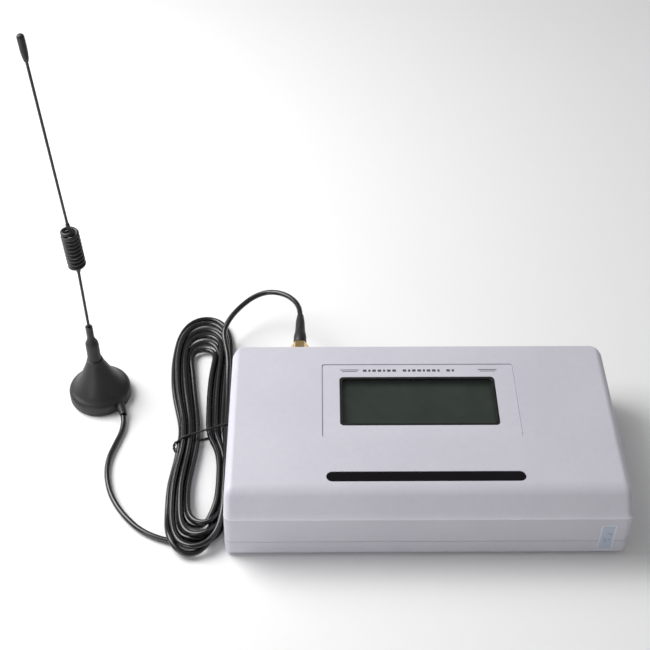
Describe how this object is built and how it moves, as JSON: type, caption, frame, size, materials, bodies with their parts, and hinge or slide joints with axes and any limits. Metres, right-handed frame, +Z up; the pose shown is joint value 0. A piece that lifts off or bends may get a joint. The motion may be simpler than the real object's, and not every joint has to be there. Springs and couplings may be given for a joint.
{
  "type": "wireless terminal",
  "caption": "Low desktop wireless terminal case with a display window and light bar, rear sockets, and a screw-on magnetic whip antenna on a tied hank of thin cable.",
  "frame": {"origin": "on the table under the centre of the case, in the plane of the rubber feet's lower faces", "axes": "+X to the right of a person who reads the display, +Y from the front to the rear of the case, +Z up"},
  "size_m": [0.2721, 0.1663, 0.2145],
  "materials": {
    "case_plastic": "fine moulded texture",
    "panel_plastic": "satin",
    "window_clear": "polished",
    "black_gloss": "polished",
    "black_plastic": "satin",
    "lcd": "polished",
    "diffuser": "frosted",
    "circuit_board": "solder mask",
    "steel": "zinc plated",
    "tin_shield": "tin plated",
    "gold_brass": "gold plated",
    "nickel": "nickel plated",
    "cream_plastic": "satin",
    "yellow_plastic": "satin",
    "led_lens": "diffused",
    "battery_wrap": "shrink film",
    "sim_plastic": "printed",
    "rubber_black": "satin",
    "rubber_grey": "matt",
    "cable_jacket": "glossy PVC",
    "magnet": "sintered ferrite",
    "whip_black": "black coating",
    "sticker_foil": "plain foil",
    "flat_cable": "satin"
  },
  "bodies": {
    "root": {"top_cover": "case_plastic", "bottom_case": "case_plastic", "display_panel": "panel_plastic", "display_window": "window_clear", "lcd_frame": "black_plastic", "lcd_glass": "lcd", "backlight": "diffuser", "display_board": "circuit_board", "display_screws": "steel", "light_bar_window": "black_gloss", "led_board": "circuit_board", "status_leds": "led_lens", "main_board": "circuit_board", "board_screws": "steel", "radio_shield": "tin_shield", "sim_holder": "cream_plastic", "phone_socket_left": "black_plastic", "phone_socket_right": "black_plastic", "dc_jack": "black_plastic", "switch_housing": "black_plastic", "battery_pack": "battery_wrap", "buzzer": "black_plastic", "ribbon_cable": "flat_cable", "ribbon_connectors": "cream_plastic", "antenna_pigtail": "cable_jacket", "sma_jack": "gold_brass", "sma_lock_washer": "nickel", "sma_jack_nut": "gold_brass", "case_screws": "steel", "rubber_feet": "rubber_grey", "seal_sticker": "sticker_foil", "sma_plug_body": "gold_brass", "sma_plug_pin": "gold_brass", "plug_boot": "rubber_black", "cable_lead_plug": "cable_jacket", "cable_hank": "cable_jacket", "cable_lead_antenna": "cable_jacket", "cable_tie": "black_plastic", "antenna_base": "rubber_black", "base_magnet": "magnet", "base_pad": "rubber_black", "mast_boot": "rubber_black", "mast_ferrule": "whip_black", "lower_whip": "whip_black"},
    "rocker": {"switch_rocker": "black_gloss"},
    "battery_door": {"battery_cover": "case_plastic"},
    "sim_drawer": {"sim_tray": "black_plastic", "sim_card": "sim_plastic"},
    "eject_button": {"sim_eject_button": "yellow_plastic"},
    "coupling_nut": {"sma_coupling_nut": "gold_brass"},
    "whip_top": {"spring_coil": "whip_black", "upper_whip": "whip_black", "tip_cap": "rubber_black"}
  },
  "joints": [
    {"name": "coupling_nut_spin", "type": "hinge", "parent": "root", "child": "coupling_nut", "pos_m": [-0.0591, 0.058, 0.024], "axis": [0, 1, 0], "continuous": true},
    {"name": "power_switch_rock", "type": "hinge", "parent": "root", "child": "rocker", "pos_m": [0.072, 0.0486, 0.0194], "axis": [0, 0, 1], "range_deg": [0, 18]},
    {"name": "battery_cover_slide", "type": "slide", "parent": "root", "child": "battery_door", "axis": [0, 1, 0], "range_m": [0, 0.06]},
    {"name": "sim_tray_slide", "type": "slide", "parent": "root", "child": "sim_drawer", "axis": [0, 1, 0], "range_m": [0, 0.026]},
    {"name": "sim_eject_press", "type": "slide", "parent": "root", "child": "eject_button", "axis": [0, -1, 0], "range_m": [0, 0.0025], "stiffness_N_per_m": 400, "springref_m": -0.0005},
    {"name": "antenna_flex", "type": "hinge", "parent": "root", "child": "whip_top", "pos_m": [-0.1637, 0.051, 0.1005], "axis": [0, 1, 0], "range_deg": [-25, 25], "stiffness_Nm_per_rad": 0.05, "deforming": ["spring_coil"]}
  ]
}
